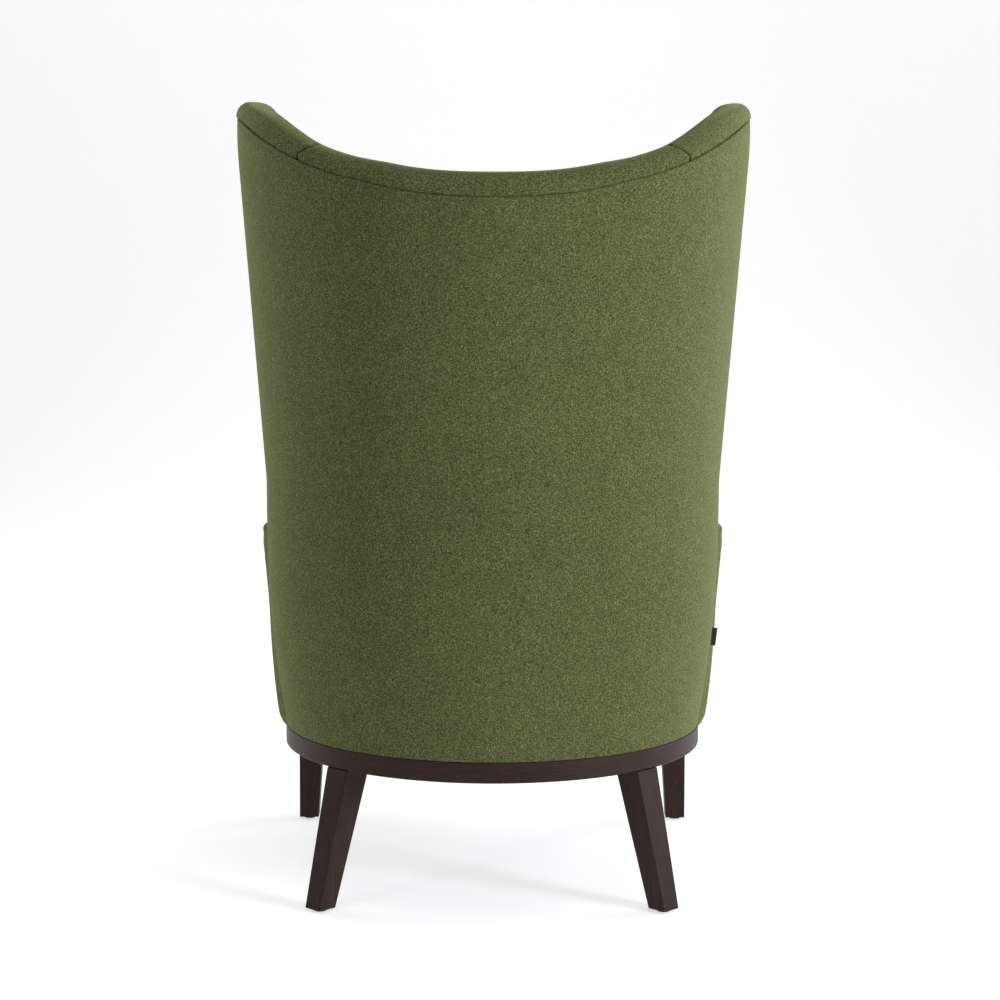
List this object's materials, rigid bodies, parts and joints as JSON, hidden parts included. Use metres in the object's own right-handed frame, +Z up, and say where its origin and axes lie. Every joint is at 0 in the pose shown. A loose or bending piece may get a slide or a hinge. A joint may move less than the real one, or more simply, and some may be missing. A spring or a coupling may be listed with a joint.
{
  "type": "armchair",
  "caption": "High-backed wing armchair with a fan-shaped upholstered shell, padded arms, loose seat cushion and a dark wooden ring base on tapered splayed legs.",
  "frame": {"origin": "on the floor under the middle of the chair's outline", "axes": "+Z up, -Y the way the sitter faces, +X to the sitter's left"},
  "size_m": [0.797, 0.7843, 1.2196],
  "materials": {
    "stained_wood": "dark brown stain, satin",
    "plywood": "plain birch plywood",
    "beech_dowel": "plain beech",
    "olive_wool": "olive wool felt, mottled",
    "black_webbing": "woven elastic webbing",
    "black_nonwoven": "thin nonwoven sheet",
    "zinc_steel": "zinc plated",
    "glide_black": "moulded, matte",
    "tab_black": "plain woven ribbon"
  },
  "bodies": {
    "root": {"base_ring": "stained_wood", "seat_deck": "plywood", "leg_front_left": "stained_wood", "leg_front_right": "stained_wood", "leg_rear_left": "stained_wood", "leg_rear_right": "stained_wood", "leg_bolts": "zinc_steel", "leg_dowels": "beech_dowel", "glides": "glide_black", "deck_screws": "zinc_steel", "rail_screws": "zinc_steel", "arm_dowels": "beech_dowel", "core_dowels": "beech_dowel", "dust_cover": "black_nonwoven", "rail_front": "plywood", "rail_rear": "plywood", "rail_left": "plywood", "rail_right": "plywood", "webbing_long": "black_webbing", "webbing_cross": "black_webbing", "back_core": "plywood", "outer_back_panel": "olive_wool", "inner_back_pad": "olive_wool", "wing_pad_left": "olive_wool", "wing_pad_right": "olive_wool", "arm_pad_left": "olive_wool", "arm_pad_right": "olive_wool", "arm_frame_left": "plywood", "arm_frame_right": "plywood", "seat_cushion": "olive_wool", "seat_front_panel": "olive_wool", "seam_tab": "tab_black"}
  },
  "joints": []
}
